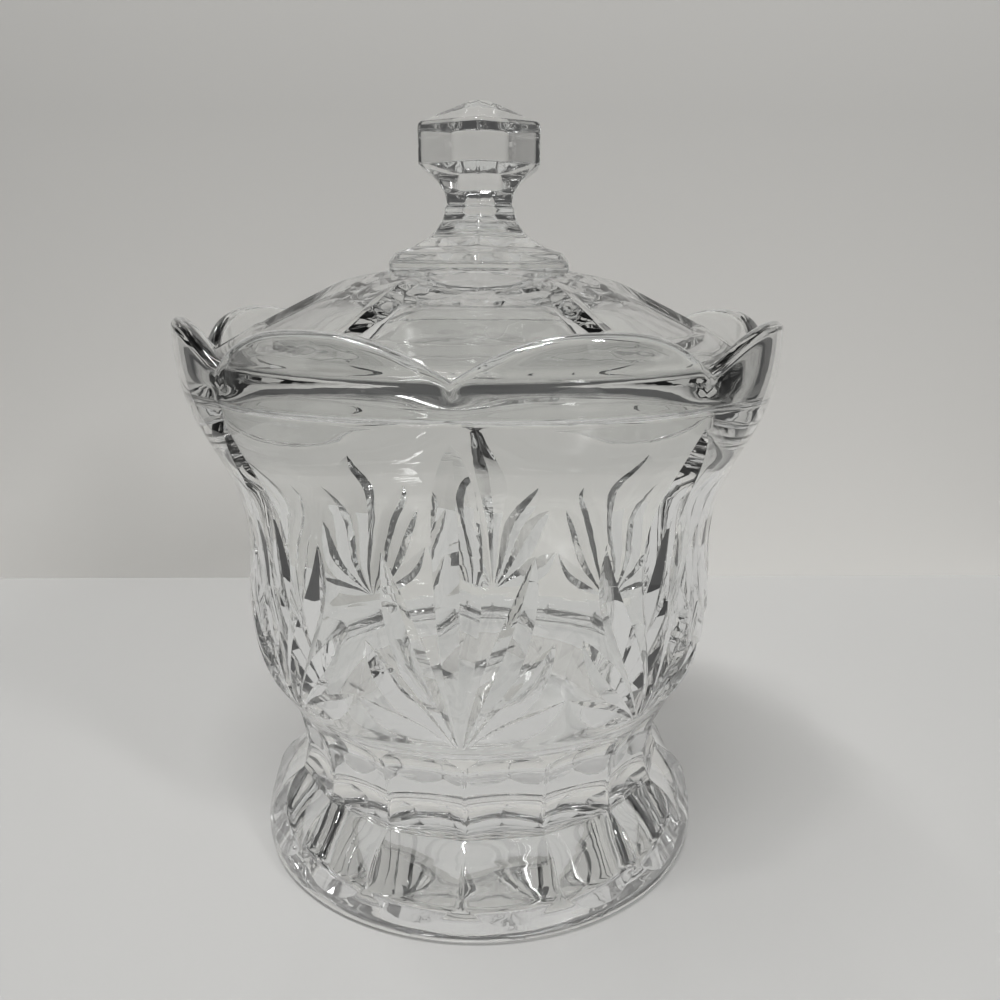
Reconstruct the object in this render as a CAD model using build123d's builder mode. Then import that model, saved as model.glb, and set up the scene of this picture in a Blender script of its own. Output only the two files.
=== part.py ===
# Cut-glass biscuit jar: a footed glass jar with a petal rim, and a loose glass lid that drops into it.
# Origin on the table at the jar's axis, +Z up, front of the jar towards -Y, all sizes in millimetres.
# Radii of faceted and six-sided stretches are measured to their corners.
import os
from math import cos, radians, sin, tan

from build123d import *

# How the ornament repeats, and how each piece is turned about the axis
fan_count = 8
fan_turn = -4.4
lid_sides = 6
lid_turn = -1.2

# Foot: radii at the table, and heights above it
foot_radius = 68.0
foot_edge_round = 2.0
foot_band_height = 4.0
foot_band_swell = 0.5
flute_foot_height = 6.0
flute_run_out_height = 2.0
shoulder_height = 9.4
shoulder_inset = 0.1
shoulder_top_height = 17.0
shoulder_top_inset = 3.2
foot_height = 24.3
foot_ring_width = 15.0
recess_depth = 8.0

# Waist, from the crease on top of the foot up to the body: rises are measured from the crease
waist_radius = 55.5
waist_rise = 6.7
crease_swell = 1.2
waist_top_rise = 19.2
waist_top_swell = 2.3
waist_length = 29.2
facet_run_out = 1.0

# Bulging body: rises are measured from its foot, insets from its radius
body_radius = 69.9
body_rise = 25.5
body_foot_inset = 6.7
body_low_rise = 11.8
body_low_inset = 1.5
body_high_rise = 41.5
body_high_inset = 0.7
body_length = 60.2

# Flare and petal rim: drops are measured from the top of the petals, insets from the rim
flare_foot_swell = 1.9
flare_rise = 15.8
flare_inset = 6.1
flare_length = 30.3
rim_radius = 85.5
rim_low_inset = 1.0
rim_length = 16.8
petal_drop = 12.1
petal_shoulder_drop = 5.2
petal_shoulder_turn = 16.0
lip_round = 1.2

# Inside of the jar: the wall's thickness from the rim down, level with the outline's points
rim_wall = 4.8
flare_wall = 6.4
wall = 5.6
body_wall = 6.8
body_low_wall = 7.6
body_foot_wall = 7.2
floor_drop = 3.5
floor_corner_round = 8.0
seat_drop = 6.9
seat_width = 6.5

# Leaf cuts: pointed V grooves that spread from the foot of the body, the tall one in the middle first
leaf_turns = [0, 14.9, 19.4, 22.1]
leaf_tip_rises = [83.5, 53.9, 31.7, 15.8]
leaf_depths = [2.3, 2.2, 2.0, 1.8]
leaf_half_widths = [5.4, 5.2, 3.8, 3.4]
leaf_foot_rise = 2.0
leaf_foot_spread = 0.12
blade_stand_out = 4.0
# How a leaf swells, as (share of the way from foot to tip, share of the full depth)
leaf_swell_shares = [(0, -0.2), (0.2, 0.45), (0.45, 0.9), (0.65, 1), (0.85, 0.62), (1, -0.2)]

# Lid: heights above its seat, and the dome's outline between the lid's edge and the collar,
# as (share of the way out to the edge, share of the way up from the edge)
lid_side_clearance = 3.0
lid_edge_height = 7.6
lid_edge_round = 2.6
lid_rim_width = 7.4
lid_lip_height = 3.2
dome_height = 31.0
dome_wall = 8.5
dome_outline_shares = [(0, 1), (0.19, 0.9), (0.44, 0.635), (0.805, 0.2)]

# The middle line of each of the lid's six flutes, from inside the collar out to where it runs out
flute_line_shares = [(-0.02, 1.06), (0.196, 0.774), (0.44, 0.457), (0.656, 0.288)]

# Stepped collar, neck and knob: six-sided, as (corner radius, rise above the stretch below)
collar_radius = 28.2
collar_side = 1.7
collar_top_radius = 26.0
collar_slope_rise = 3.5
neck_foot_radius = 21.0
neck_foot_rise = 1.0
neck_low_radius = 14.9
neck_low_rise = 3.3
neck_radius = 10.5
neck_rise = 7.4
neck_top_radius = 15.2
neck_top_rise = 9.6
knob_radius = 19.2
knob_foot_rise = 3.5
knob_side = 8.0
knob_round = 0.9
roof_radius = 2.6
roof_rise = 7.5

# How many times the wall's outline is halved to find the radius at a height
search_steps = 30

os.makedirs("parts", exist_ok=True)

# Turns
facet_count = 2 * fan_count
fan_step = 360 / fan_count
facet_step = 360 / facet_count
flatness = cos(radians(facet_step / 2))

# Radii
foot_band_radius = foot_radius + foot_band_swell
shoulder_radius = foot_radius - shoulder_inset
shoulder_top_radius = foot_radius - shoulder_top_inset
recess_radius = foot_radius - foot_ring_width
crease_radius = waist_radius + crease_swell
waist_top_radius = waist_radius + waist_top_swell
body_foot_radius = body_radius - body_foot_inset
body_low_radius = body_radius - body_low_inset
body_high_radius = body_radius - body_high_inset
flare_foot_radius = body_radius + flare_foot_swell
flare_radius = rim_radius - flare_inset
rim_low_radius = rim_radius - rim_low_inset
seat_outer_radius = rim_low_radius - rim_wall
seat_inner_radius = seat_outer_radius - seat_width
lid_radius = seat_outer_radius - lid_side_clearance
facet_reach = foot_band_radius * sin(radians(facet_step))
outside = max(foot_band_radius, body_radius) + wall

# Heights
waist_top_height = foot_height + waist_top_rise
body_foot_height = foot_height + waist_length
flare_foot_height = body_foot_height + body_length
flare_height = flare_foot_height + flare_rise
rim_low_height = flare_foot_height + flare_length
petal_height = rim_low_height + rim_length
blank_height = petal_height + lip_round
cusp_height = petal_height - petal_drop
seat_height = cusp_height - seat_drop
floor_height = body_foot_height - floor_drop
dome_top_height = seat_height + dome_height
lid_shoulder_height = seat_height + lid_edge_height + lid_edge_round

# The outside of the jar from the crease to the top of the rim, along the ridges. The rim is left
# a little higher than its petals, which are cut out of it.
with BuildLine() as outer_wall:
    Spline(
        (crease_radius, foot_height),
        (waist_radius, foot_height + waist_rise),
        (waist_top_radius, waist_top_height),
        (body_foot_radius, body_foot_height),
        (body_low_radius, body_foot_height + body_low_rise),
        (body_radius, body_foot_height + body_rise),
        (body_high_radius, body_foot_height + body_high_rise),
        (flare_foot_radius, flare_foot_height),
        (flare_radius, flare_height),
        (rim_low_radius, rim_low_height),
        (rim_radius, blank_height),
    )


def wall_radius(height):
    """Radius of the outside of the jar at a height, found by halving along its outline."""
    outline = outer_wall.edge()
    low, high = 0.0, 1.0
    for _ in range(search_steps):
        middle = (low + high) / 2
        if outline.position_at(middle).Y < height:
            low = middle
        else:
            high = middle
    return outline.position_at(low).X


def wall_point(turn, height):
    """A point on the outside of the jar, turned about the axis from the front."""
    radius = wall_radius(height)
    return Vector(radius * sin(radians(turn)), -radius * cos(radians(turn)), height)


def leaf_plane(turn, height, step_turn, step_height):
    """The plane across a leaf at one point: X along the wall, Y outwards."""
    here = wall_point(turn, height)
    along = wall_point(turn + step_turn, height + step_height) - here
    outwards = Vector(here.X, here.Y, 0)
    across = outwards.cross(along)
    return Plane(origin=here, x_dir=across, z_dir=along)


def leaf_blade(tip_turn, tip_rise, depth, half_width):
    """The V-shaped blade that cuts one leaf, lofted through sections along the wall."""
    foot_turn = tip_turn * leaf_foot_spread
    rise = tip_rise - leaf_foot_rise
    with BuildPart() as blade:
        for share, fullness in leaf_swell_shares:
            turn = foot_turn + (tip_turn - foot_turn) * share
            height = body_foot_height + leaf_foot_rise + rise * share
            below = depth * fullness
            spread = half_width / depth * (below + blade_stand_out)
            plane = leaf_plane(turn, height, (tip_turn - foot_turn) / 100, rise / 100)
            with BuildSketch(plane):
                Polygon((0, -below), (spread, blade_stand_out), (-spread, blade_stand_out), align=None)
        loft()
    return blade.part


# The air above one petal, bounded by the cusps on either side of it
half_chord = rim_radius * sin(radians(fan_step / 2))
shoulder_chord = rim_radius * sin(radians(petal_shoulder_turn))
wedge_width = 2 * rim_radius * tan(radians(fan_step / 2))
air_top = petal_height + rim_wall
with BuildPart() as petal_cut:
    with BuildSketch(Plane.XZ):
        with BuildLine():
            Spline(
                (-half_chord - lip_round, cusp_height - lip_round),
                (-half_chord, cusp_height),
                (-shoulder_chord, petal_height - petal_shoulder_drop),
                (0, petal_height),
                (shoulder_chord, petal_height - petal_shoulder_drop),
                (half_chord, cusp_height),
                (half_chord + lip_round, cusp_height - lip_round),
            )
            Polyline(
                (half_chord + lip_round, cusp_height - lip_round),
                (wedge_width, cusp_height - lip_round),
                (wedge_width, air_top),
                (-wedge_width, air_top),
                (-wedge_width, cusp_height - lip_round),
                (-half_chord - lip_round, cusp_height - lip_round),
            )
        make_face()
    extrude(amount=2 * rim_radius)
    with BuildSketch(Plane.XY):
        Polygon((0, 0), (-wedge_width, -2 * rim_radius), (wedge_width, -2 * rim_radius), align=None)
    extrude(amount=air_top, mode=Mode.INTERSECT)

# The glass taken off one flat side of the waist, which runs out upwards into the body
with BuildPart() as waist_cut:
    with BuildSketch(Plane.YZ):
        with BuildLine():
            Spline(
                (-crease_radius * flatness, foot_height),
                (-waist_radius * flatness, foot_height + waist_rise),
                (-waist_top_radius * flatness, waist_top_height),
                (-body_foot_radius + facet_run_out, body_foot_height - facet_run_out),
            )
            Polyline(
                (-body_foot_radius + facet_run_out, body_foot_height - facet_run_out),
                (-outside, body_foot_height + body_foot_wall),
                (-outside, foot_height),
                (-crease_radius * flatness, foot_height),
            )
        make_face()
    extrude(amount=facet_reach, both=True)

# The glass taken off one side of the foot's shoulder, which runs out downwards above its edge
with BuildPart() as shoulder_cut:
    with BuildSketch(Plane.YZ):
        with BuildLine():
            Spline(
                (-crease_radius * flatness, foot_height),
                (-shoulder_top_radius * flatness, shoulder_top_height),
                (-shoulder_radius * flatness, shoulder_height),
                (-foot_band_radius, flute_foot_height),
            )
            Polyline(
                (-foot_band_radius, flute_foot_height),
                (-outside, flute_run_out_height),
                (-outside, foot_height + waist_rise),
                (-crease_radius * flatness, foot_height + waist_rise),
                (-crease_radius * flatness, foot_height),
            )
        make_face()
    extrude(amount=facet_reach, both=True)

blades = []
for tip_turn, tip_rise, depth, half_width in zip(leaf_turns, leaf_tip_rises, leaf_depths, leaf_half_widths):
    blades.append(leaf_blade(tip_turn, tip_rise, depth, half_width))
    if tip_turn > 0:
        blades.append(leaf_blade(-tip_turn, tip_rise, depth, half_width))

# Jar: one turned piece of glass, then its sides, petals and leaves
with BuildPart() as jar:
    with BuildSketch(Plane.XZ):
        with BuildLine():
            add(outer_wall.line)
            Polyline(
                (rim_radius, blank_height),
                (rim_radius - rim_wall, blank_height),
                (rim_radius - rim_wall, seat_height + lip_round),
                (seat_outer_radius, seat_height),
                (seat_inner_radius, seat_height),
            )
            Spline(
                (seat_inner_radius, seat_height),
                (flare_radius - flare_wall, flare_height),
                (flare_foot_radius - wall, flare_foot_height),
                (body_high_radius - wall, body_foot_height + body_high_rise),
                (body_radius - body_wall, body_foot_height + body_rise),
                (body_low_radius - body_low_wall, body_foot_height + body_low_rise),
            )
            Polyline(
                (body_low_radius - body_low_wall, body_foot_height + body_low_rise),
                (body_foot_radius - body_foot_wall, floor_height),
                (0, floor_height),
                (0, recess_depth),
            )
            TangentArc((0, recess_depth), (recess_radius, 0), tangent=(1, 0))
            Line((recess_radius, 0), (foot_radius - foot_edge_round, 0))
            TangentArc(
                (foot_radius - foot_edge_round, 0),
                (foot_radius, foot_edge_round),
                tangent=(1, 0),
            )
            Line((foot_radius, foot_edge_round), (foot_band_radius, foot_band_height))
            Spline(
                (foot_band_radius, foot_band_height),
                (shoulder_radius, shoulder_height),
                (shoulder_top_radius, shoulder_top_height),
                (crease_radius, foot_height),
            )
        make_face()
        floor_corners = vertices().filter_by_position(Axis.Y, floor_height, floor_height)
        fillet(floor_corners.sort_by(Axis.X)[-1], radius=floor_corner_round)
    revolve(axis=Axis.Z)
    with PolarLocations(0, facet_count, start_angle=fan_turn + facet_step / 2):
        add(waist_cut.part, mode=Mode.SUBTRACT)
        add(shoulder_cut.part, mode=Mode.SUBTRACT)
    with PolarLocations(0, fan_count, start_angle=fan_turn + fan_step / 2):
        add(petal_cut.part, mode=Mode.SUBTRACT)
    high_edges = edges().filter_by(lambda edge: edge.bounding_box().min.Z > seat_height + 2 * lip_round)
    petal_edges = high_edges.filter_by(lambda edge: edge.length > rim_wall + lip_round)
    fillet(petal_edges, radius=lip_round)
    for blade in blades:
        with PolarLocations(0, fan_count, start_angle=fan_turn):
            add(blade, mode=Mode.SUBTRACT)
jar.part.label = "jar"
export_step(jar.part, "parts/jar.step")


def lid_point(share_out, share_up):
    """A point of the lid's outline, between the collar and the lid's edge."""
    radius = collar_radius + (lid_radius - collar_radius) * share_out
    height = lid_shoulder_height + (dome_top_height - lid_shoulder_height) * share_up
    return Vector(radius, height)


# The glass scooped out of the lid's dome by one flute
knob_foot_height = dome_top_height + collar_side + collar_slope_rise + neck_foot_rise + neck_low_rise
flute_line = [lid_point(share_out, share_up) for share_out, share_up in flute_line_shares]
with BuildPart() as dome_cut:
    with BuildSketch(Plane.XZ):
        with BuildLine():
            Spline(flute_line)
            Polyline(
                flute_line[-1],
                (lid_radius, flute_line[-1].Y),
                (lid_radius, knob_foot_height),
                (flute_line[0].X, knob_foot_height),
                flute_line[0],
            )
        make_face()
    extrude(amount=lid_radius, both=True)

# Lid: a turned dome, its flutes, then the collar, neck and knob grown from its top
dome_line = [lid_point(share_out, share_up) for share_out, share_up in dome_outline_shares]
dome_line.append(Vector(lid_radius - lid_edge_round, lid_shoulder_height))
under_line = [point - Vector(0, dome_wall) for point in dome_line[:-1]]
with BuildPart() as lid:
    with BuildSketch(Plane.XZ):
        with BuildLine():
            Polyline(under_line[0], (0, under_line[0].Y), (0, dome_top_height), dome_line[0])
            Spline(dome_line)
            RadiusArc(dome_line[-1], (lid_radius, seat_height + lid_edge_height), lid_edge_round)
            Polyline(
                (lid_radius, seat_height + lid_edge_height),
                (lid_radius, seat_height),
                (lid_radius - lid_rim_width, seat_height),
                (lid_radius - lid_rim_width, seat_height + lid_lip_height),
            )
            Spline(*under_line, (lid_radius - lid_rim_width, seat_height + lid_lip_height))
        make_face()
    revolve(axis=Axis.Z)
    with PolarLocations(0, lid_sides, start_angle=lid_turn - 90):
        add(dome_cut.part, mode=Mode.SUBTRACT)
    # Six-sided stretches as (corner radius, rise), each standing on the end of the one before
    height = dome_top_height - dome_wall / 2
    for stretch in (
        [(collar_radius, 0), (collar_radius, dome_wall / 2 + collar_side)],
        [(collar_radius, 0), (collar_top_radius, collar_slope_rise)],
        [(collar_top_radius, 0), (neck_foot_radius, neck_foot_rise)],
        [
            (neck_foot_radius, 0),
            (neck_low_radius, neck_low_rise),
            (neck_radius, neck_rise),
            (neck_top_radius, neck_top_rise),
            (knob_radius, knob_foot_rise),
        ],
        [(knob_radius, 0), (knob_radius, knob_side)],
        [(knob_radius, 0), (roof_radius, roof_rise)],
    ):
        for radius, rise in stretch:
            height += rise
            with BuildSketch(Plane.XY.offset(height)):
                RegularPolygon(radius=radius, side_count=lid_sides, rotation=lid_turn - 90)
        loft()
    knob_reach = roof_rise + knob_side + knob_round
    knob_edges = edges().filter_by(lambda edge: edge.bounding_box().min.Z > height - knob_reach)
    fillet(knob_edges, radius=knob_round)
lid.part.label = "lid"
export_step(lid.part, "parts/lid.step")
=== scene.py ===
"""Cut-glass biscuit jar with a petal rim and a loose fluted lid, laid out as an add-on."""

from math import copysign, cos, pi, radians, sin, sqrt, tau

import bmesh
import bpy
from mathutils import Matrix, Vector


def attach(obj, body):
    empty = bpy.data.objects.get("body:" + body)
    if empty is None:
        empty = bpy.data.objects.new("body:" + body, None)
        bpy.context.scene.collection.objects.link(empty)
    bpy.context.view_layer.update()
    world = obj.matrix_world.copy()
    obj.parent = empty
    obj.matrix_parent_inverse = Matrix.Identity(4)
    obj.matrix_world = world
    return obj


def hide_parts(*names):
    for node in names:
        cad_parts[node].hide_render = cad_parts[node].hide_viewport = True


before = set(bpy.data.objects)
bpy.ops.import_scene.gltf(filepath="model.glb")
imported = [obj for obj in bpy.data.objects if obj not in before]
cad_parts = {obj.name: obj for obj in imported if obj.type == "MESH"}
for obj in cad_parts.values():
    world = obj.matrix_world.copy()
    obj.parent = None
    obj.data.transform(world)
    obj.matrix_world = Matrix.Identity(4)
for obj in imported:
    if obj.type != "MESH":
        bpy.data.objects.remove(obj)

bl_info = {
    "name": "Cut glass biscuit jar",
    "version": (1, 0, 0),
    "blender": (4, 5, 0),
    "location": "View3D > Sidebar > Biscuit jar",
    "description": "Models a leaf-cut glass biscuit jar and its fluted lid around a fixed frame",
    "category": "Object",
}

MM = 0.001
TINY = 1e-9

# --- The jar's outlines, in millimetres and degrees, along the ridges between its flat sides ---

# The wall from the crease up to the rim, as (height, radius)
WALL = [
    (24.3, 57.2), (25.2, 56.6), (27, 56.0), (31, 55.5), (37, 56.2), (43.5, 57.8), (48.5, 60.3), (53.5, 63.2),
    (57.8, 65.9), (61.5, 67.4), (66, 68.6), (73, 69.6), (79, 69.9), (87.7, 69.6), (97, 69.2), (107.4, 70.2),
    (113.7, 71.8), (119.5, 74.2), (127, 78.0), (134, 81.5), (144, 84.5), (152, 85.5), (161, 85.6),
]
# The foot from the crease down to its edge, as (height, radius)
FOOT = [(24.3, 56.7), (20.8, 61.4), (17.0, 64.8), (12.8, 67.0), (9.4, 67.9), (4.0, 68.5)]
FOOT_LOW = FOOT[-1][0]
FOOT_RADIUS = 68.0
FOOT_FLARE = 0.2
FOOT_ROUND = 2.0
# The domed recess under the foot, as (radius, height, rounding)
RECESS_RADIUS, RECESS_DEPTH, RECESS_ROUND = 53.0, 8.0, 0.6
RECESS = [(RECESS_RADIUS, 0, RECESS_ROUND)] + [
    (r, RECESS_DEPTH * (1 - (r / RECESS_RADIUS) ** 2), 0) for r in range(50, -1, -2)
]
# The inside from the ledge down to the floor, as (height, radius)
INNER_WALL = [(141.8, 73.2), (129.5, 73.0), (113.7, 66.2), (95, 63.6), (79, 63.1), (65.3, 60.8)]
INNER_LOW = INNER_WALL[-1][0]
SEAT_HEIGHT, SEAT_OUTER, SEAT_INNER = 141.8, 79.7, 73.2
SEAT_ROUND_OUTER, SEAT_ROUND_INNER = 0.6, 0.9
LEDGE_THICKNESS = 2
FLOOR_HEIGHT, FLOOR_RADIUS, FLOOR_ROUND = 50.0, 56.0, 8.0
CREASE_HEIGHT = 24.3
RIM_WALL = 4.6
PETAL_TOP, CUSP_TOP = 160.8, 150.8

# One fan of leaves stands over two flat sides
FAN_TURN = -4.4
FAN_COUNT = 8
FAN_STEP = 360 / FAN_COUNT
HALF_FAN = FAN_STEP / 2
HALF_PANEL = HALF_FAN / 2

# Its leaves: the groove's middle line as (turn, height), its half width, and where along it that is reached
LEAVES = [
    ([(0, 54.5), (0, 95), (0, 137.5)], 5.9, 0.62),
    ([(0.4, 55.5), (5.6, 70.5), (11.0, 87), (13.9, 99), (15.0, 108.5)], 4.1, 0.52),
    ([(0.8, 55.5), (7.5, 65.5), (14.0, 74.5), (19.5, 85.5)], 3.9, 0.55),
    ([(1.5, 56.0), (9.0, 60.5), (16.0, 64.2), (22.2, 69.8)], 3.9, 0.5),
]
GROOVE_SLOPE = 0.77
EDGE_ROUND, EDGE_ANGLE = 0.35, 10
# The blade that cuts a groove: how far it stands out of the glass and its ends clear it, and its divisions
BLADE_RISE, BLADE_CLEAR, BLADE_CUTS = 1.6, 0.04, 24


def smooth_curve(points):
    """The natural cubic spline through (x, y) points, as a function of x."""
    points = sorted(points)
    xs = [x for x, _ in points]
    ys = [y for _, y in points]
    count = len(points)
    bends = [0.0] * count
    carry = [0.0] * count
    for i in range(1, count - 1):
        before, after = xs[i] - xs[i - 1], xs[i + 1] - xs[i]
        share = before / (before + after)
        pivot = share * bends[i - 1] + 2
        bends[i] = (share - 1) / pivot
        slope = (ys[i + 1] - ys[i]) / after - (ys[i] - ys[i - 1]) / before
        carry[i] = (6 * slope / (before + after) - share * carry[i - 1]) / pivot
    bends[-1] = 0.0
    for i in range(count - 2, -1, -1):
        bends[i] = bends[i] * bends[i + 1] + carry[i]

    def value(x):
        low = 0
        while low < count - 2 and x > xs[low + 1]:
            low += 1
        span = xs[low + 1] - xs[low]
        a, b = (xs[low + 1] - x) / span, (x - xs[low]) / span
        curved = (a ** 3 - a) * bends[low] + (b ** 3 - b) * bends[low + 1]
        return a * ys[low] + b * ys[low + 1] + curved * span * span / 6

    return value


def ramp(x, low, high):
    """0 below low, 1 above high, straight between."""
    return min(max((x - low) / (high - low), 0.0), 1.0)


def ease(x, low, high):
    """Like ramp, with soft ends."""
    t = ramp(x, low, high)
    return t * t * (3 - 2 * t)


class Path:
    """A run of (radius, height, rounding) points, read by its length."""

    ARC_STEPS = 16

    def __init__(self, points):
        self.points = []
        last = len(points) - 1
        for i, (r, z, rounding) in enumerate(points):
            here = Vector((r, z))
            if rounding == 0 or i in (0, last):
                self.points.append(here)
                continue
            back = (Vector(points[i - 1][:2]) - here).normalized()
            ahead = (Vector(points[i + 1][:2]) - here).normalized()
            half = back.angle(ahead) / 2
            middle = here + (back + ahead).normalized() * rounding / sin(half)
            reach = rounding / (sin(half) / cos(half))
            start, end = here + back * reach - middle, here + ahead * reach - middle
            for k in range(self.ARC_STEPS + 1):
                self.points.append(middle + start.lerp(end, k / self.ARC_STEPS).normalized() * rounding)
        self.lengths = [0.0]
        for a, b in zip(self.points, self.points[1:]):
            self.lengths.append(self.lengths[-1] + (b - a).length)
        self.length = self.lengths[-1]

    def at(self, s):
        """The (radius, height) at a length along the path."""
        s = min(max(s, 0.0), self.length)
        low, high = 0, len(self.lengths) - 1
        while high - low > 1:
            middle = (low + high) // 2
            if self.lengths[middle] <= s:
                low = middle
            else:
                high = middle
        span = self.lengths[high] - self.lengths[low]
        return self.points[low].lerp(self.points[high], (s - self.lengths[low]) / max(span, TINY))

    def station(self, height, radius):
        """The length at the point nearest to a height and radius."""
        target = Vector((radius, height))
        best = min(range(len(self.points)), key=lambda i: (self.points[i] - target).length)
        return self.lengths[best]


def sampled(curve, low, high, count):
    """Points (radius, height, 0) of a curve of height, from one height to another."""
    heights = [low + (high - low) * i / count for i in range(count + 1)]
    return [(curve(h), h, 0) for h in heights]


wall_radius = smooth_curve(WALL)
inner_radius = smooth_curve(INNER_WALL)
foot_radius_at = smooth_curve(FOOT)

# --- The jar's cross-section, read by one running length: the wall's own height between crease and lip ---

# The flat sides end at the waist in arches: height at middle and corner, roundness, and the row bent to them
ARCH_TOP, ARCH_CORNER, ARCH_POWER = 52.8, 46.0, 2.6
ARCH_ROW, ARCH_ROW_LOW, ARCH_ROW_HIGH = 49.0, 40.0, 54.2
# On the foot they end in the same way, with a round lower end
FLUTE_LOW, FLUTE_CORNER, FLUTE_POWER = 6.0, 13.0, 2.2
FLUTE_ROW_LOW, FLUTE_ROW_HIGH = 4.4, 18.0
# Their softened corners, and their raised ribs and hollows, which both fade out towards the crease
CORNER_SOFTNESS = 0.6
RIB_HEIGHT, RIB_WIDTH = 0.35, 0.8
HOLLOW, HOLLOW_FADE = 1.0, 8.0
# The rounding in the crease, and the direction it faces as (out, up)
CREASE_FILL, CREASE_REACH = 0.2, 0.8
CREASE_OUT, CREASE_UP = 0.894, 0.447
# The flat sides lie outside this radius, clear of the recess
SIDES_INNERMOST = 55.0
# The rim's rounded lip
LIP_RADIUS = 2.2
LIP_START = PETAL_TOP - LIP_RADIUS
LIP_LENGTH = pi * LIP_RADIUS
# Heights between which the petals' outline fades in, outside and, from above the seat, inside
RIM_LOW, RIM_HIGH = 139.0, 157.5
SEAT_CLEAR = 144.5
# Heights of points on the rim's inside
RIM_INSIDE = (154, 150)
# The petals' shape, and how deep and from which height to which the wall is drawn in between them
PETAL_POWER, PETAL_BLUNT = 2.5, 1.15
LOBE_DEPTH, LOBE_LOW, LOBE_HIGH = 2.2, 122.0, 148.0

# How finely the curved outlines are taken
FOOT_POINTS, INNER_POINTS = 40, 60
lower_path = Path(
    sampled(foot_radius_at, CREASE_HEIGHT, FOOT_LOW, FOOT_POINTS)
    + [(FOOT_RADIUS + FOOT_FLARE, 0, FOOT_ROUND), *RECESS]
)
inner_path = Path(
    [(wall_radius(h) - RIM_WALL, h, 0) for h in (LIP_START, *RIM_INSIDE, SEAT_CLEAR)]
    + [(SEAT_OUTER, SEAT_HEIGHT, SEAT_ROUND_OUTER), (SEAT_INNER, SEAT_HEIGHT, SEAT_ROUND_INNER)]
    + sampled(inner_radius, SEAT_HEIGHT - LEDGE_THICKNESS, INNER_LOW, INNER_POINTS)
    + [(FLOOR_RADIUS, FLOOR_HEIGHT, FLOOR_ROUND), (0, FLOOR_HEIGHT, 0)]
)
seat_outer_row = inner_path.station(SEAT_HEIGHT, SEAT_OUTER)
seat_inner_row = inner_path.station(SEAT_HEIGHT, SEAT_INNER)
BOTTOM_Y = CREASE_HEIGHT - lower_path.length
INNER_Y = LIP_START + LIP_LENGTH
TOP_Y = INNER_Y + inner_path.length


def foot_row(height):
    """The length along the lower path at a height on the foot."""
    return lower_path.station(height, foot_radius_at(height))


flute_row = foot_row(FLUTE_CORNER)
flute_row_high = foot_row(FLUTE_ROW_HIGH)
flute_row_low = foot_row(FLUTE_ROW_LOW)


def soft_corner(x, half, softness):
    """An angle across a flat side, levelled off just before the corner so that the corner is rounded."""
    start = half - softness
    if x <= start:
        return x
    t = min((x - start) / softness, 1)
    return start + softness * (t - t * t / 2)


def flat_share(x, reach, y):
    """The share of the ridges' radius that is left in a flat side, which reaches to a given angle."""
    if x >= reach:
        return 1.0
    rib = RIB_HEIGHT / FOOT_RADIUS * ease(x, HALF_PANEL - RIB_WIDTH, HALF_PANEL)
    hollow = HOLLOW / FOOT_RADIUS * (1 - (x / reach) ** 2) * (reach / HALF_PANEL) ** 2
    carved = (rib - hollow) * ramp(abs(y - CREASE_HEIGHT), 0, HOLLOW_FADE)
    edge, here = [radians(soft_corner(angle, HALF_PANEL, CORNER_SOFTNESS)) for angle in (reach, x)]
    return cos(edge) / cos(here) + carved


def crease_filled(r, z, y):
    """Rounds the crease between waist and foot."""
    fill = CREASE_FILL * max(1 - abs(y - CREASE_HEIGHT) / CREASE_REACH, 0) ** 2
    return r + CREASE_OUT * fill, z + CREASE_UP * fill


def petal_drop(turn):
    """How far the rim lies below the top of a petal."""
    share = abs(1 - abs(turn) / HALF_FAN)
    return (PETAL_TOP - CUSP_TOP) * (1 - (1 - share ** PETAL_POWER) ** PETAL_BLUNT)


def lobe(turn, height, low):
    """How far the wall is drawn in towards the cusps."""
    return LOBE_DEPTH * (1 - abs(turn) / HALF_FAN) ** 2 * ease(height, low, LOBE_HIGH)


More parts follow.
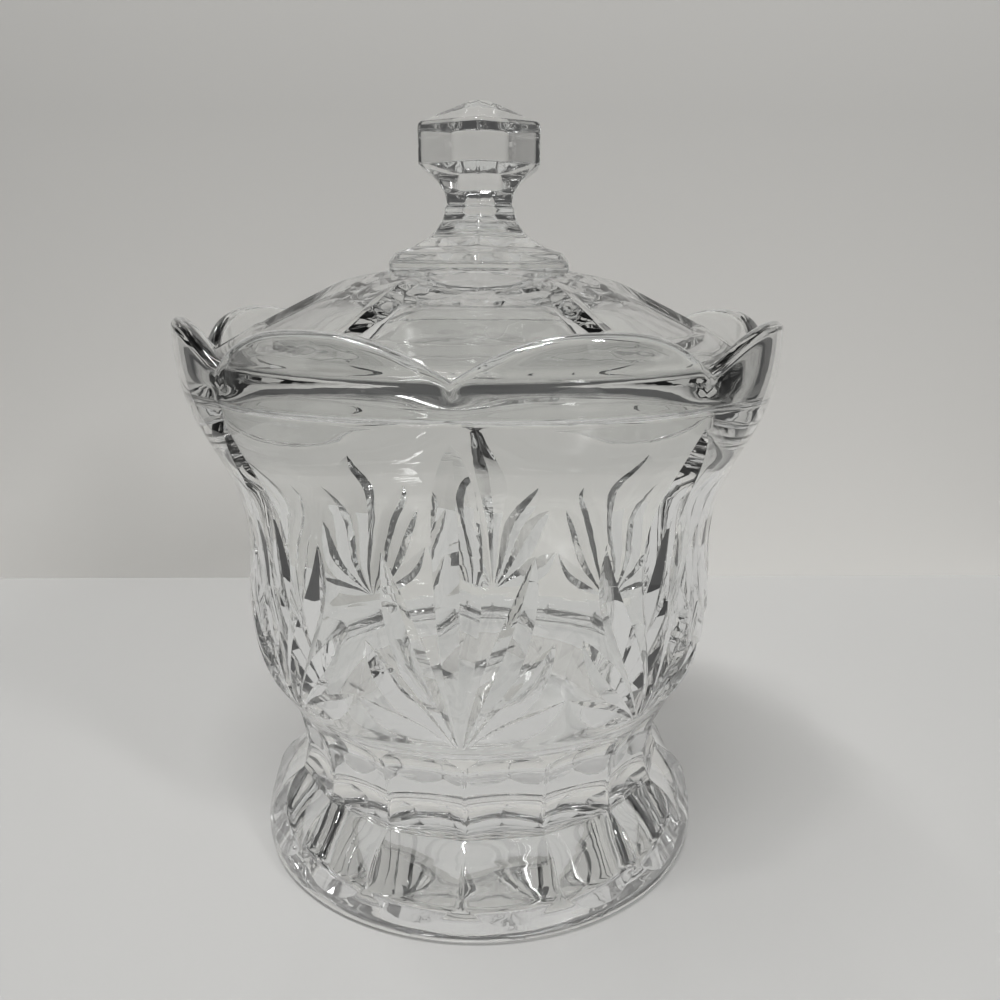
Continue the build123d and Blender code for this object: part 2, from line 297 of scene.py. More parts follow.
def jar_section(turn, y):
    """The jar's surface as (radius, height), by turn from a fan's middle and running length."""
    x = abs(abs(turn) - HALF_PANEL)
    if y <= CREASE_HEIGHT:
        s = CREASE_HEIGHT - y
        low_edge = FLUTE_LOW + (FLUTE_CORNER - FLUTE_LOW) * (x / HALF_PANEL) ** FLUTE_POWER
        shift = foot_row(low_edge) - flute_row
        s += shift * ramp(s, flute_row_high, flute_row) * (1 - ramp(s, flute_row, flute_row_low))
        r, z = lower_path.at(s)
        if r > SIDES_INNERMOST and z > FLUTE_LOW:
            reach = HALF_PANEL * min((z - FLUTE_LOW) / (FLUTE_CORNER - FLUTE_LOW), 1.0) ** (1 / FLUTE_POWER)
            r *= flat_share(x, reach, y)
        return crease_filled(r, z, y)
    drop = petal_drop(turn)
    if y <= LIP_START:
        arch = ARCH_TOP - (ARCH_TOP - ARCH_CORNER) * (x / HALF_PANEL) ** ARCH_POWER
        z = y + (arch - ARCH_ROW) * ramp(y, ARCH_ROW_LOW, ARCH_ROW) * (1 - ramp(y, ARCH_ROW, ARCH_ROW_HIGH))
        share = 1.0
        if z < ARCH_TOP:
            reach = HALF_PANEL * min((ARCH_TOP - z) / (ARCH_TOP - ARCH_CORNER), 1.0) ** (1 / ARCH_POWER)
            share = flat_share(x, reach, y)
        z -= drop * ramp(z, RIM_LOW, RIM_HIGH)
        return crease_filled(wall_radius(z) * share - lobe(turn, z, LOBE_LOW), z, y)
    if y < INNER_Y:
        middle = LIP_START - drop
        outer = wall_radius(middle) - lobe(turn, middle, LOBE_LOW)
        phi = (y - LIP_START) / LIP_LENGTH * pi
        return outer - RIM_WALL / 2 * (1 - cos(phi)), middle + LIP_RADIUS * sin(phi)
    r, z = inner_path.at(y - INNER_Y)
    if z > SEAT_CLEAR:
        z -= drop * ramp(z, SEAT_CLEAR, RIM_HIGH)
        r = wall_radius(z) - RIM_WALL
    if y - INNER_Y < seat_outer_row:
        r -= lobe(turn, z, SEAT_HEIGHT)
    return r, z


# A small step on the surface, in degrees and millimetres, and the depth under which a point is on it
NUDGE = 0.05
SURFACE_DEPTH = 1e-6


def turned(section, turn, y):
    """A point of a surface, in millimetres, with the front of the piece towards -Y."""
    r, z = section(turn, y)
    return Vector((r * sin(radians(turn)), -r * cos(radians(turn)), z))


def wrapped(section, turn, y, depth):
    """The point that lies a depth under a surface, along its normal."""
    here = turned(section, turn, y)
    if abs(depth) < SURFACE_DEPTH:
        return here
    across = turned(section, turn + NUDGE, y) - turned(section, turn - NUDGE, y)
    along = turned(section, turn, y + NUDGE) - turned(section, turn, y - NUDGE)
    return here + across.cross(along).normalized() * depth


# --- Tools for modelling ---

# The flat tile's width per degree, its margins and thickness before it is trimmed
MM_PER_DEGREE = 1.204
SLAB_MARGIN, SLAB_THICKNESS, SHEET_MARGIN = 8, 6, 4
# Distances under which points count as one, on the flat tile and in metres on the glass
CUT_THRESHOLD, SAME_PLACE = 1e-5, 1e-4
TILE_WELD, RING_WELD = 1e-6, 2e-6
# Edges sharper than this angle stay sharp, and large faces lead the shading by this weight
SMOOTH_ANGLE = 40
AREA_WEIGHT = 90
# A small step along a leaf's line, as a share of it
LINE_NUDGE = 0.01
# Faces whose normals rise less than this are the slab's sides and bottom
SIDE_LEAN = 0.4


def only(obj):
    """Leaves one object selected and active, in object mode."""
    bpy.ops.object.select_all(action="DESELECT")
    obj.select_set(True)
    bpy.context.view_layer.objects.active = obj


def apply_modifier(obj, kind, **settings):
    """Adds a modifier with its settings and applies it."""
    only(obj)
    modifier = obj.modifiers.new(kind.lower(), kind)
    for key, value in settings.items():
        setattr(modifier, key, value)
    bpy.ops.object.modifier_apply(modifier=modifier.name)


def leaf_blade(line, half_width, widest):
    """A three-sided blade bent along a leaf's middle line, with its edge down in the glass."""
    bpy.ops.mesh.primitive_cylinder_add(vertices=3, radius=1, depth=2, rotation=(-pi / 2, 0, 0))
    blade = bpy.context.object
    bpy.ops.object.transform_apply()
    bpy.ops.object.mode_set(mode="EDIT")
    bpy.ops.mesh.select_all(action="DESELECT")
    mesh = bmesh.from_edit_mesh(blade.data)
    for edge in mesh.edges:
        a, b = edge.verts
        lengthwise = abs(a.co.y - b.co.y) > 1
        edge.select_set(lengthwise)
    bpy.ops.mesh.subdivide(number_cuts=BLADE_CUTS)
    bpy.ops.object.mode_set(mode="OBJECT")
    lengths = [0.0]
    for (x0, y0), (x1, y1) in zip(line, line[1:]):
        lengths.append(lengths[-1] + sqrt(((x1 - x0) * MM_PER_DEGREE) ** 2 + (y1 - y0) ** 2))
    turns = smooth_curve([(s / lengths[-1], x * MM_PER_DEGREE) for s, (x, _) in zip(lengths, line)])
    heights = smooth_curve([(s / lengths[-1], y) for s, (_, y) in zip(lengths, line)])
    corners = sorted({(round(v.co.x, 3), round(v.co.z, 3)) for v in blade.data.vertices}, key=lambda c: c[1])
    for vertex in blade.data.vertices:
        t = (vertex.co.y + 1) / 2
        middle = Vector((turns(t), heights(t)))
        ahead, behind = [Vector((turns(u), heights(u))) for u in (t + LINE_NUDGE, t - LINE_NUDGE)]
        step = ahead - behind
        side = Vector((step.y, -step.x)).normalized()
        swell = (max(t, 0) / widest) ** (2 * widest) * (max(1 - t, 0) / (1 - widest)) ** (2 - 2 * widest)
        depth = GROOVE_SLOPE * half_width * swell - BLADE_CLEAR
        if (round(vertex.co.x, 3), round(vertex.co.z, 3)) == corners[0]:
            reach, rise = 0, -depth
        else:
            reach, rise = copysign(half_width * swell + BLADE_RISE / GROOVE_SLOPE, vertex.co.x), BLADE_RISE
        vertex.co = (middle.x + side.x * reach, middle.y + side.y * reach, rise)
    only(blade)
    bpy.ops.object.mode_set(mode="EDIT")
    bpy.ops.mesh.select_all(action="SELECT")
    bpy.ops.mesh.normals_make_consistent(inside=False)
    bpy.ops.object.mode_set(mode="OBJECT")
    return blade


def flat_slab(half_width, low, high):
    """A slab whose top is the glass's surface laid out flat, a little larger than the tile."""
    size = (2 * half_width + SLAB_MARGIN, high - low + SLAB_MARGIN, SLAB_THICKNESS)
    place = (0, (low + high) / 2, -SLAB_THICKNESS / 2)
    bpy.ops.mesh.primitive_cube_add(size=1, location=place, scale=size)
    slab = bpy.context.object
    bpy.ops.object.transform_apply()
    return slab


def peel(slab):
    """Keeps only the top skin of the slab."""
    only(slab)
    bpy.ops.object.mode_set(mode="EDIT")
    mesh = bmesh.from_edit_mesh(slab.data)
    bpy.ops.mesh.select_all(action="DESELECT")
    bpy.ops.mesh.select_mode(type="FACE")
    mesh.faces.ensure_lookup_table()
    for face in mesh.faces:
        face.select_set(face.normal.z < SIDE_LEAN)
    bpy.ops.mesh.delete(type="FACE")
    bpy.ops.object.mode_set(mode="OBJECT")


def bisect_all(obj, columns, rows, fine_columns=(), fine_top=0.0):
    """Cuts a flat sheet along rows and columns and trims it; fine columns only reach up to a height."""
    only(obj)
    bpy.ops.object.mode_set(mode="EDIT")
    bpy.ops.mesh.select_mode(type="VERT")
    cuts = [(1, row, False) for row in sorted(rows)] + [(0, column, False) for column in sorted(columns)]
    cuts += [(0, column, True) for column in sorted(fine_columns)]
    ends = {min(rows), max(rows)}, {min(columns), max(columns)}
    for axis, place, fine in cuts:
        bpy.ops.mesh.select_all(action="SELECT")
        if fine:
            mesh = bmesh.from_edit_mesh(obj.data)
            for vertex in mesh.verts:
                vertex.select_set(vertex.co.y < fine_top)
            mesh.select_flush_mode()
        point, normal = [0, 0, 0], [0, 0, 0]
        point[axis], normal[axis] = place, 1
        low, high = sorted(ends[1 - axis])
        bpy.ops.mesh.bisect(
            plane_co=point, plane_no=normal, threshold=CUT_THRESHOLD,
            clear_inner=place == low, clear_outer=place == high,
        )
    match_sides(obj, max(columns), rows)
    bpy.ops.object.mode_set(mode="OBJECT")


def match_sides(obj, side, rows):
    """Takes away the points that lie between rows on the sheet's two sides, so that copies meet exactly."""
    mesh = bmesh.from_edit_mesh(obj.data)
    stray = 0
    for vertex in mesh.verts:
        on_side = abs(abs(vertex.co.x) - side) < SAME_PLACE
        between = on_side and min(abs(vertex.co.y - row) for row in rows) > SAME_PLACE
        vertex.select_set(between)
        stray += between
    mesh.select_flush_mode()
    if stray:
        bpy.ops.mesh.dissolve_verts()


def evenly(low, high, step):
    """Places from low to high, evenly spaced at about a step."""
    count = max(1, round((high - low) / step))
    return [low + (high - low) * i / count for i in range(count + 1)]


def rows_of(stretches, more):
    """Rows for all stretches (low, high, step) and some more, rounded so that equal ones count once."""
    rows = set(more)
    for stretch in stretches:
        rows |= set(evenly(*stretch))
    return {round(row, 4) for row in rows}


def wrap(tile, section):
    """Moves every point of the flat tile to its place on the glass, in metres."""
    for vertex in tile.data.vertices:
        x, y, depth = vertex.co
        vertex.co = wrapped(section, x / MM_PER_DEGREE, y, depth) * MM


def ring_of(tile, count, turn, name):
    """Copies a tile round the axis, welds the copies and shades the result."""
    only(tile)
    bpy.ops.object.empty_add(rotation=(0, 0, tau / count))
    step = bpy.context.object
    apply_modifier(
        tile, "ARRAY", count=count, use_relative_offset=False, use_object_offset=True, offset_object=step,
        use_merge_vertices=True, use_merge_vertices_cap=True, merge_threshold=TILE_WELD,
    )
    bpy.data.objects.remove(step)
    only(tile)
    tile.rotation_euler = (0, 0, radians(turn))
    bpy.ops.object.transform_apply()
    bpy.ops.object.mode_set(mode="EDIT")
    bpy.ops.mesh.select_all(action="SELECT")
    bpy.ops.mesh.remove_doubles(threshold=RING_WELD)
    bpy.ops.mesh.normals_make_consistent(inside=False)
    bpy.ops.object.mode_set(mode="OBJECT")
    bpy.ops.object.shade_smooth_by_angle(angle=radians(SMOOTH_ANGLE))
    apply_modifier(tile, "WEIGHTED_NORMAL", mode="FACE_AREA", weight=AREA_WEIGHT, keep_sharp=True)
    tile.name = name
    tile.data.name = name
    return tile


# Columns of the jar's tile, in degrees, finer at the ribs, and the rows close to the crease and the arches
COLUMN_STEP = 1.875
RIB_COLUMNS = (0.25, 0.5, 0.8, 21.7, 22.0, 22.25)
CREASE_ROWS = (0.25, 0.5, 0.8)
ARCH_MARGIN = 0.3
# Rows of the jar's tile as stretches (low, high, step), with close rows a little past each bend
foot_end = CREASE_HEIGHT - lower_path.station(0, RECESS_RADIUS) - 2
flute_y = CREASE_HEIGHT - flute_row
ledge_outer, ledge_inner = INNER_Y + seat_outer_row - 1, INNER_Y + seat_inner_row + 2
bend_low, bend_high = TOP_Y - FLOOR_RADIUS - 6, TOP_Y - FLOOR_RADIUS + 10
JAR_STRETCHES = [
    (BOTTOM_Y, foot_end, 3.0), (foot_end, flute_y, 1.2), (flute_y, CREASE_HEIGHT, 1.2),
    (CREASE_HEIGHT, ARCH_ROW, 1.7), (ARCH_ROW, LIP_START, 1.8), (LIP_START, INNER_Y, 0.9),
    (INNER_Y, ledge_outer, 2.0), (ledge_outer, ledge_inner, 0.5), (ledge_inner, bend_low, 2.6),
    (bend_low, bend_high, 1.2), (bend_high, TOP_Y, 3.0),
]


def model_jar():
    """The jar: leaf grooves cut in a flat tile of glass, wrapped on its outline, eight times round."""
    slab = flat_slab(HALF_FAN * MM_PER_DEGREE, BOTTOM_Y, TOP_Y)
    for line, leaf_half_width, widest in LEAVES:
        upright = line[-1][0] == 0
        for side in ((1,) if upright else (1, -1)):
            blade = leaf_blade([(x * side, y) for x, y in line], leaf_half_width, widest)
            apply_modifier(slab, "BOOLEAN", operation="DIFFERENCE", solver="EXACT", object=blade)
            bpy.data.objects.remove(blade)
    angle = radians(EDGE_ANGLE)
    apply_modifier(slab, "BEVEL", width=EDGE_ROUND, segments=2, limit_method="ANGLE", angle_limit=angle)
    peel(slab)
    columns = {c * MM_PER_DEGREE for c in evenly(-HALF_FAN, HALF_FAN, COLUMN_STEP)}
    fine_columns = {side * c * MM_PER_DEGREE for c in RIB_COLUMNS for side in (1, -1)}
    close_rows = {CREASE_HEIGHT + side * d for d in CREASE_ROWS for side in (1, -1)}
    close_rows |= {ARCH_ROW - ARCH_MARGIN, ARCH_ROW + ARCH_MARGIN}
    rows = rows_of(JAR_STRETCHES, close_rows)
    fine_top = max(row for row in rows if row < ARCH_ROW_HIGH) + SAME_PLACE
    bisect_all(slab, columns, rows, fine_columns, fine_top)
    wrap(slab, jar_section)
    return ring_of(slab, FAN_COUNT, FAN_TURN, "cut_glass_jar")


# --- The lid's cross-section, from the middle of its underside out to the edge and up to the knob's top ---

LID_TURN = -1.2
LID_SIDES = 6
HALF_SIDE = 180 / LID_SIDES
# The underside and the ridges between the flutes, as (radius, height)
LID_UNDER = [(28.2, 164.3), (37.4, 162.2), (49.5, 156.7), (60.0, 151.6), (67.2, 147.7)]
LID_RIDGE = [(28.2, 172.8), (37.4, 170.7), (49.5, 165.2), (60.0, 160.0), (67.2, 156.2), (74.1, 152.0)]
LID_RIM = 74.0
# The flutes: depth, half width of their flat part, the radii between which their lower and upper ends slope,
# and how far each of these has moved at that width
FLUTE_DEPTH = 2.4
FLUTE_FLAT = 24.0
FLUTE_RADII = (66.0, 62.5, 40.0, 30.5)
FLUTE_SHIFTS = (-2.0, -1.5, 8.0, 5.5)
# The dome turns six-sided over this length up to the collar, and the corners are softened by this angle
COLLAR_BLEND = 12
KNOB_SOFTNESS = 4.0
# Points of the lid's outline, as (radius, height)
COLLAR_RADIUS, UNDER_HEIGHT, COLLAR_HEIGHT = 28.2, 164.3, 172.8
EDGE_INSIDE = (69.3, 144.8)
KNOB_LOW = (18.9, 201.0)

under_dome = smooth_curve(LID_UNDER)
ridge_dome = smooth_curve(LID_RIDGE)
lid_path = Path(
    [(0, UNDER_HEIGHT, 0)]
    + [(r, under_dome(r), 0) for r in (COLLAR_RADIUS + i for i in range(40))]
    + [(*EDGE_INSIDE, 1.5), (69.3, 141.8, 0.7), (76.7, 141.8, 0.8), (76.7, 150.6, 2.6)]
    + [(r, ridge_dome(r), 0) for r in (LID_RIM - i for i in range(46))]
    + [(COLLAR_RADIUS, COLLAR_HEIGHT, 0.4), (COLLAR_RADIUS, 175.0, 1.2), (26.0, 177.6, 1.2)]
    + [(21.0, 179.0, 4.0), (14.6, 182.6, 9.0), (11.4, 187.0, 5.0), (10.9, 190.0, 0.1)]
    + [(10.3, 190.3, 0.1), (10.6, 193.0, 4.0)]
    + [(13.6, 197.4, 9.0), (*KNOB_LOW, 0.7), (18.9, 211.4, 1.5), (2.6, 218.3, 0.5), (0, 218.3, 0)]
)


def lid_row(radius):
    """The length along the lid's path at a radius on the dome."""
    return lid_path.station(ridge_dome(radius), radius)


rim_row = lid_row(LID_RIM)
collar_row = lid_path.station(COLLAR_HEIGHT, COLLAR_RADIUS)
flute_rows = [lid_row(r) for r in FLUTE_RADII]


def remap(x, places, targets):
    """x moved from straight stretches between places to the stretches between targets."""
    for (a, b), (c, d) in zip(zip(places, places[1:]), zip(targets, targets[1:])):
        if a <= x <= b:
            return c + (d - c) * (x - a) / max(b - a, TINY)
    return x


def lid_section(turn, y):
    """The lid's surface as (radius, height), by turn from a flute's middle and path length."""
    share = min(abs(turn) / FLUTE_FLAT, HALF_SIDE / FLUTE_FLAT)
    radii = [r + d * min(share, 1.0) ** 2 for r, d in zip(FLUTE_RADII, FLUTE_SHIFTS)]
    s = y
    if rim_row < y < collar_row:
        s = remap(y, [rim_row, *flute_rows, collar_row], [rim_row, *map(lid_row, radii), collar_row])
    r, z = lid_path.at(s)
    if rim_row < s < collar_row:
        depth = ramp(-r, -radii[0], -radii[1]) * ramp(r, radii[3], radii[2])
        depth *= 1 - ramp(abs(turn), FLUTE_FLAT, HALF_SIDE)
        z -= FLUTE_DEPTH * depth
    if s > collar_row - COLLAR_BLEND:
        x = abs(HALF_SIDE - abs(turn))
        edge, here = [radians(soft_corner(angle, HALF_SIDE, KNOB_SOFTNESS)) for angle in (HALF_SIDE, x)]
        r *= 1 - (1 - cos(edge) / cos(here)) * ramp(s, collar_row - COLLAR_BLEND, collar_row)
    return r, z


# Columns of the lid's sheet, in degrees: even ones over a flute, close ones in its middle and at its sides
LID_COLUMN_STEP = 2
LID_COLUMNS = (0.6, 1.2, 23.4, 24.6, 26, 27.5, 28.8, 29.5, 30)
FLUTE_MARGIN = 0.25
# Rows of the lid's sheet as stretches (low, high, step), with close rows a little past each bend
edge_row = lid_path.station(EDGE_INSIDE[1], EDGE_INSIDE[0]) - 1
knob_row = lid_path.station(KNOB_LOW[1], KNOB_LOW[0])
LID_STRETCHES = [
    (0, edge_row, 2.4), (edge_row, rim_row, 0.6), (rim_row, collar_row, 1.0),
    (collar_row, knob_row - 2, 0.55), (knob_row - 2, knob_row + 2, 0.25),
    (knob_row + 2, knob_row + 7, 1.5), (knob_row + 7, knob_row + 13, 0.3),
    (knob_row + 13, lid_path.length - 4, 2.0), (lid_path.length - 4, lid_path.length, 0.3),
]


def model_lid():
    """The lid: a fluted dome with a six-sided collar, neck and knob, one sixth copied round."""
    bpy.ops.mesh.primitive_plane_add(size=1, location=(0, lid_path.length / 2, 0))
    sheet = bpy.context.object
    sheet.scale = (2 * HALF_SIDE * MM_PER_DEGREE + SHEET_MARGIN, lid_path.length + SHEET_MARGIN, 1)
    bpy.ops.object.transform_apply()
    columns = set(evenly(-FLUTE_FLAT, FLUTE_FLAT, LID_COLUMN_STEP)) | {0.0}
    columns |= {side * c for c in LID_COLUMNS for side in (1, -1)}
    close_rows = {row + d for row in flute_rows for d in (-FLUTE_MARGIN, 0, FLUTE_MARGIN)}
    bisect_all(sheet, {c * MM_PER_DEGREE for c in columns}, rows_of(LID_STRETCHES, close_rows))
    wrap(sheet, lid_section)
    return ring_of(sheet, LID_SIDES, LID_TURN, "fluted_lid")


# --- Materials ---

# The ripple of the glass's polish: its scale, detail and strength, and its height in metres
RIPPLE_SCALE, RIPPLE_DETAIL, RIPPLE_STRENGTH, RIPPLE_HEIGHT = 45, 3, 0.1, 0.0006
# The cloudiness of wall and table: its scale, detail, and darkest and lightest share of the colour
CLOUD_SCALE, CLOUD_DETAIL, CLOUD_DARK, CLOUD_LIGHT = 2.5, 3, 0.985, 1.015
# The height, in metres, at which the painted shade towards the top reaches its full depth
PAINTED_SHADE_HEIGHT = 0.25


def principled(name, **values):
    """A material with plain values on its Principled shader."""
    material = bpy.data.materials.new(name)
    material.use_nodes = True
    shader = material.node_tree.nodes["Principled BSDF"]
    for key, value in values.items():
        shader.inputs[key.replace("_", " ")].default_value = value
    return material, shader


def noise(tree, scale, detail):
    """A noise pattern fixed to the object."""
    place = tree.nodes.new("ShaderNodeTexCoord")
    pattern = tree.nodes.new("ShaderNodeTexNoise")
    pattern.inputs["Scale"].default_value = scale
    pattern.inputs["Detail"].default_value = detail
    tree.links.new(place.outputs["Object"], pattern.inputs["Vector"])
    return pattern.outputs["Fac"]


def glass(name, tint, roughness, ior):
    """Clear glass whose polish ripples slightly."""
    material, shader = principled(
        name, Base_Color=tint, Roughness=roughness, IOR=ior, Transmission_Weight=1.0,
    )
    tree = material.node_tree
    ripple = noise(tree, RIPPLE_SCALE, RIPPLE_DETAIL)
    bump = tree.nodes.new("ShaderNodeBump")
    bump.inputs["Strength"].default_value = RIPPLE_STRENGTH
    bump.inputs["Distance"].default_value = RIPPLE_HEIGHT
    tree.links.new(ripple, bump.inputs["Height"])
    tree.links.new(bump.outputs["Normal"], shader.inputs["Normal"])
    return material


def dress(obj, material):
    """Gives an object one material."""
    obj.data.materials.clear()
    obj.data.materials.append(material)


def plain(name, colour, roughness, specular, painted_top_shade=1.0):
    """A painted or coated surface with a faint unevenness of tone, and optionally painted shade that darkens
    it towards the top.
    """
    material, shader = principled(name, Roughness=roughness, Specular_IOR_Level=specular)
    tree = material.node_tree
    tone = tree.nodes.new("ShaderNodeMix")
    tone.data_type = "RGBA"
    tone.inputs["A"].default_value = (*[c * CLOUD_DARK for c in colour[:3]], 1)
    tone.inputs["B"].default_value = (*[min(c * CLOUD_LIGHT, 1) for c in colour[:3]], 1)
    tree.links.new(noise(tree, CLOUD_SCALE, CLOUD_DETAIL), tone.inputs["Factor"])
    # Painted shade: the colour is scaled from its full value at the bottom down to the given share at the
    # top height
    place = tree.nodes.new("ShaderNodeTexCoord")
    axes = tree.nodes.new("ShaderNodeSeparateXYZ")
    share = tree.nodes.new("ShaderNodeMapRange")
    share.inputs["From Max"].default_value = PAINTED_SHADE_HEIGHT
    share.inputs["To Min"].default_value = 1
    share.inputs["To Max"].default_value = painted_top_shade
    shaded_colour = tree.nodes.new("ShaderNodeVectorMath")
    shaded_colour.operation = "SCALE"
    tree.links.new(place.outputs["Object"], axes.inputs["Vector"])
    tree.links.new(axes.outputs["Z"], share.inputs["Value"])
    tree.links.new(tone.outputs["Result"], shaded_colour.inputs[0])
    tree.links.new(share.outputs["Result"], shaded_colour.inputs["Scale"])
    tree.links.new(shaded_colour.outputs["Vector"], shader.inputs["Base Color"])
    return material


def mixed_in(material, part, shader):
    """Mixes another shader into a material, by a part from 0 to 1."""
    tree = material.node_tree
    both = tree.nodes.new("ShaderNodeMixShader")
    tree.links.new(part, both.inputs["Fac"])
    tree.links.new(tree.nodes["Principled BSDF"].outputs["BSDF"], both.inputs[1])
    tree.links.new(shader, both.inputs[2])
    tree.links.new(both.outputs["Shader"], tree.nodes["Material Output"].inputs["Surface"])


def keep_tone(material, colour, in_glass, in_view):
    """Lets a surface show a share of its plain tone, free of shadow, through glass and to the camera."""
    tree = material.node_tree
    rays = tree.nodes.new("ShaderNodeLightPath")
    part = None
    for kind, share in (("Is Transmission Ray", in_glass), ("Is Camera Ray", in_view)):
        more = tree.nodes.new("ShaderNodeMath")
        more.operation = "MULTIPLY_ADD"
        more.inputs[1].default_value = share
        more.inputs[2].default_value = 0
        tree.links.new(rays.outputs[kind], more.inputs[0])
        if part:
            tree.links.new(part, more.inputs[2])
        part = more.outputs["Value"]
    glow = tree.nodes.new("ShaderNodeEmission")
    glow.inputs["Color"].default_value = colour
    mixed_in(material, part, glow.outputs["Emission"])


def see_from_behind(material):
    """Leaves out a surface's back, so that the object can be seen from there too."""
    tree = material.node_tree
    sides = tree.nodes.new("ShaderNodeNewGeometry")
    clear = tree.nodes.new("ShaderNodeBsdfTransparent")
    mixed_in(material, sides.outputs["Backfacing"], clear.outputs["BSDF"])


# --- The add-on: values to change, one operator for each piece and one for the stage ---

class GlassLook(bpy.types.PropertyGroup):
    """The glass of jar and lid."""

    tint: bpy.props.FloatVectorProperty(
        name="Tint", description="Colour of the glass", subtype="COLOR", size=4, min=0, max=1,
        default=(0.975, 0.98, 0.975, 1),
    )
    roughness: bpy.props.FloatProperty(
        name="Roughness", description="0 is a perfect polish", default=0.0, min=0, max=1, subtype="FACTOR",
    )
    ior: bpy.props.FloatProperty(
        name="Index of refraction", description="1.52 is plain glass, 1.56 is lead glass",
        default=1.52, min=1,
    )


class StageLook(bpy.types.PropertyGroup):
    """The wall, the table and the light."""

    wall: bpy.props.FloatVectorProperty(
        name="Wall", description="Colour of the wall behind", subtype="COLOR", size=4, min=0, max=1,
        default=(0.66, 0.65, 0.625, 1),
    )
    table: bpy.props.FloatVectorProperty(
        name="Table", description="Colour of the table", subtype="COLOR", size=4, min=0, max=1,
        default=(0.425, 0.422, 0.412, 1),
    )
    table_tone: bpy.props.FloatVectorProperty(
        name="Table tone", description="Tone of the table without shadow", subtype="COLOR",
        size=4, min=0, max=1, default=(0.545, 0.542, 0.53, 1),
    )
    clearness: bpy.props.FloatProperty(
        name="Clearness", description="Share of that tone seen through glass", default=0.95, min=0, max=1,
        subtype="FACTOR",
    )
    evenness: bpy.props.FloatProperty(
        name="Evenness", description="Share of that tone seen straight", default=0.3, min=0, max=1,
        subtype="FACTOR",
    )
    lamp: bpy.props.FloatProperty(
        name="Lamp", description="Power of the lamps together", default=33.0, min=0, unit="POWER",
    )
    ceiling: bpy.props.FloatProperty(
        name="Ceiling", description="Brightness of the room overhead", default=0.08, min=0,
    )
    room: bpy.props.FloatProperty(
        name="Room", description="Brightness of the room around", default=0.06, min=0,
    )
    far_end: bpy.props.FloatProperty(
        name="Far end", description="Brightness of the room right behind the camera", default=0.08, min=0,
    )


class BISCUITJAR_OT_jar(bpy.types.Operator):
    """Models the jar with its leaf cuts, fluted waist and petal rim"""

    bl_idname = "biscuitjar.jar"
    bl_label = "Model the jar"

    def execute(self, context):
        look = context.scene.biscuit_glass
        jar = model_jar()
        dress(jar, glass("jar_glass", look.tint, look.roughness, look.ior))
        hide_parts("jar")
        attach(jar, "jar")
        return {"FINISHED"}


class BISCUITJAR_OT_lid(bpy.types.Operator):
    """Models the lid with its fluted dome and six-sided knob"""

    bl_idname = "biscuitjar.lid"
    bl_label = "Model the lid"

    def execute(self, context):
        look = context.scene.biscuit_glass
        lid = model_lid()
        dress(lid, glass("lid_glass", look.tint, look.roughness, look.ior))
        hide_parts("lid")
        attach(lid, "lid")
        return {"FINISHED"}


# Camera and stage, in metres, radians and, for the lens, millimetres
CAMERA_PLACE = (0, -0.27237, 0.17434)
CAMERA_PITCH = radians(14.43)
CAMERA_YAW = 0.0225
CAMERA_ROLL = radians(0.257)
LENS, SENSOR = 32.87, 36
NEAREST = 0.01
WALL_Y = 0.227
STAGE_WIDTH, STAGE_DEPTH, WALL_HEIGHT = 0.66, 0.7, 0.5
LIGHT_BOUNCES = 14

# Each lamp's name, place, size and share of the power; all point at a spot inside the jar
LAMPS = [
    ("ceiling_lamp_left", (-0.34, -0.12, 1.4), (0.6, 0.05), 0.2),
    ("ceiling_lamp_middle", (-0.15, -0.5, 1.5), (0.6, 0.03), 0.55),
    ("window", (0.8, -0.9, 0.9), (0.12, 0.35), 0.25),
]
LAMP_AIM = Vector((0, 0, 0.1))

# Where the room's tone changes, on the direction's axis: from the ceiling down, and round to the far end
CEILING_FADE = (0.75, 0.25)
FAR_END_FADE = (-0.86, -0.97)


def faded_tone(tree, direction, fade, start, tone):
    """A tone that takes the place of a starting colour over a range of a direction."""
    share = tree.nodes.new("ShaderNodeMapRange")
    share.interpolation_type = "SMOOTHSTEP"
    share.inputs["From Min"].default_value, share.inputs["From Max"].default_value = fade
    tree.links.new(direction, share.inputs["Value"])
    mix = tree.nodes.new("ShaderNodeMix")
    mix.data_type = "RGBA"
    mix.inputs["B"].default_value = (tone, tone, tone, 1)
    tree.links.new(share.outputs["Result"], mix.inputs["Factor"])
    if isinstance(start, float):
        mix.inputs["A"].default_value = (start, start, start, 1)
    else:
        tree.links.new(start, mix.inputs["A"])
    return mix.outputs["Result"]


def room_light(ceiling, room, far_end):
    """The dark room around, with tones of its own for the ceiling and for the far end behind the camera."""
    world = bpy.data.worlds.new("room")
    world.use_nodes = True
    tree = world.node_tree
    place = tree.nodes.new("ShaderNodeTexCoord")
    axes = tree.nodes.new("ShaderNodeSeparateXYZ")
    tree.links.new(place.outputs["Generated"], axes.inputs["Vector"])
    colour = faded_tone(tree, axes.outputs["Z"], CEILING_FADE, ceiling, room)
    colour = faded_tone(tree, axes.outputs["Y"], FAR_END_FADE, colour, far_end)
    tree.links.new(colour, tree.nodes["Background"].inputs["Color"])
    return world


def stage_plane(name, size, material, **place):
    """One flat side of the stage, with its place in its mesh."""
    bpy.ops.mesh.primitive_plane_add(size=1, **place)
    plane = bpy.context.object
    plane.name = name
    plane.scale = (*size, 1)
    dress(plane, material)
    only(plane)
    bpy.ops.object.transform_apply()


def add_lamps(power):
    """The lamps, which share the power."""
    for name, place, size, share in LAMPS:
        bpy.ops.object.light_add(type="AREA", location=place)
        lamp = bpy.context.object
        lamp.name = name
        lamp.data.shape = "RECTANGLE"
        lamp.data.size, lamp.data.size_y = size
        lamp.data.energy = power * share
        lamp.rotation_euler = (LAMP_AIM - Vector(place)).to_track_quat("-Z", "Y").to_euler()


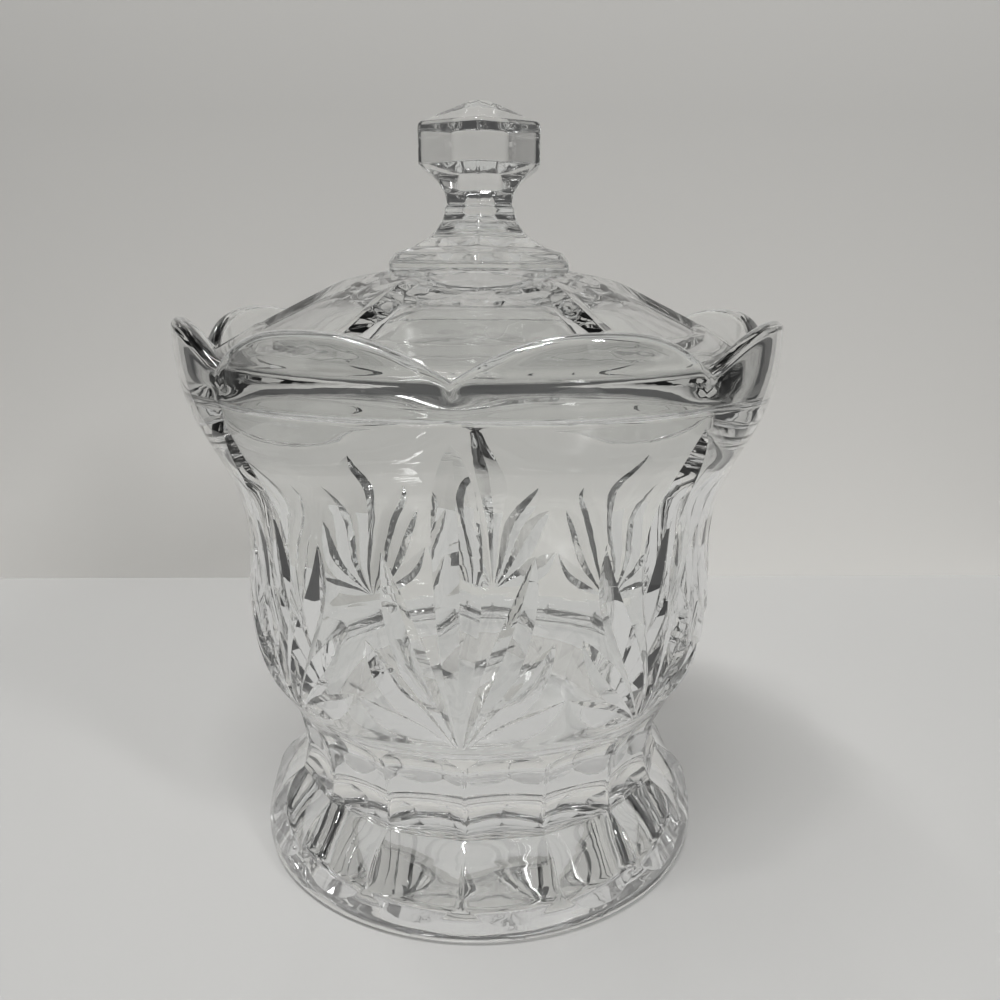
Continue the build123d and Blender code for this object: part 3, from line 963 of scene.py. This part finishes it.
def add_camera():
    """The camera, a little above the petals and looking slightly down."""
    forth = cos(CAMERA_PITCH)
    ahead = Vector((sin(CAMERA_YAW) * forth, cos(CAMERA_YAW) * forth, -sin(CAMERA_PITCH)))
    level = Vector((cos(CAMERA_YAW), -sin(CAMERA_YAW), 0))
    upright = level.cross(ahead)
    right = level * cos(CAMERA_ROLL) + upright * sin(CAMERA_ROLL)
    up = upright * cos(CAMERA_ROLL) - level * sin(CAMERA_ROLL)
    bpy.ops.object.camera_add()
    camera = bpy.context.object
    turned_to = Matrix((right, up, -ahead)).transposed().to_4x4()
    camera.matrix_world = Matrix.Translation(CAMERA_PLACE) @ turned_to
    camera.data.lens = LENS
    camera.data.sensor_width = SENSOR
    camera.data.clip_start = NEAREST
    return camera


class BISCUITJAR_OT_stage(bpy.types.Operator):
    """Sets the wall, the table, the lamps and the camera"""

    bl_idname = "biscuitjar.stage"
    bl_label = "Set the stage"

    def execute(self, context):
        look = context.scene.biscuit_stage
        coating = plain("table_top", look.table, roughness=0.22, specular=0.5)
        keep_tone(coating, look.table_tone, look.clearness, look.evenness)
        stage_plane("table", (STAGE_WIDTH, STAGE_DEPTH), coating, location=(0, WALL_Y - STAGE_DEPTH / 2, 0))
        # The wall's colour darkens towards its top: painted shade that evens out the lamps' stronger light
        # up there
        paint = plain("wall_paint", look.wall, roughness=0.6, specular=0.2, painted_top_shade=0.68)
        see_from_behind(paint)
        standing = {"location": (0, WALL_Y, WALL_HEIGHT / 2), "rotation": (pi / 2, 0, 0)}
        stage_plane("wall", (STAGE_WIDTH, WALL_HEIGHT), paint, **standing)
        add_lamps(look.lamp)
        context.scene.world = room_light(look.ceiling, look.room, look.far_end)
        context.scene.camera = add_camera()
        context.scene.view_settings.view_transform = "Standard"
        context.scene.cycles.max_bounces = LIGHT_BOUNCES
        context.scene.cycles.transmission_bounces = LIGHT_BOUNCES
        context.scene.cycles.glossy_bounces = LIGHT_BOUNCES
        return {"FINISHED"}


class BISCUITJAR_PT_panel(bpy.types.Panel):
    """Lists the operators and their values in the sidebar"""

    bl_label = "Biscuit jar"
    bl_idname = "BISCUITJAR_PT_panel"
    bl_space_type = "VIEW_3D"
    bl_region_type = "UI"
    bl_category = "Biscuit jar"

    def draw(self, context):
        layout = self.layout
        for group in (context.scene.biscuit_glass, context.scene.biscuit_stage):
            for name in group.__annotations__:
                layout.prop(group, name)
        for operator in OPERATORS:
            layout.operator(operator.bl_idname)


OPERATORS = (BISCUITJAR_OT_jar, BISCUITJAR_OT_lid, BISCUITJAR_OT_stage)
CLASSES = (GlassLook, StageLook, *OPERATORS, BISCUITJAR_PT_panel)


def register():
    """Adds the classes and their values to Blender."""
    for cls in CLASSES:
        bpy.utils.register_class(cls)
    bpy.types.Scene.biscuit_glass = bpy.props.PointerProperty(type=GlassLook)
    bpy.types.Scene.biscuit_stage = bpy.props.PointerProperty(type=StageLook)


def unregister():
    """Takes them away again."""
    del bpy.types.Scene.biscuit_glass
    del bpy.types.Scene.biscuit_stage
    for cls in reversed(CLASSES):
        bpy.utils.unregister_class(cls)


def main():
    """Models the jar and the lid and sets the stage."""
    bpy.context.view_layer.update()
    register()
    bpy.ops.biscuitjar.jar()
    bpy.ops.biscuitjar.lid()
    bpy.ops.biscuitjar.stage()


if __name__ == "__main__":
    main()
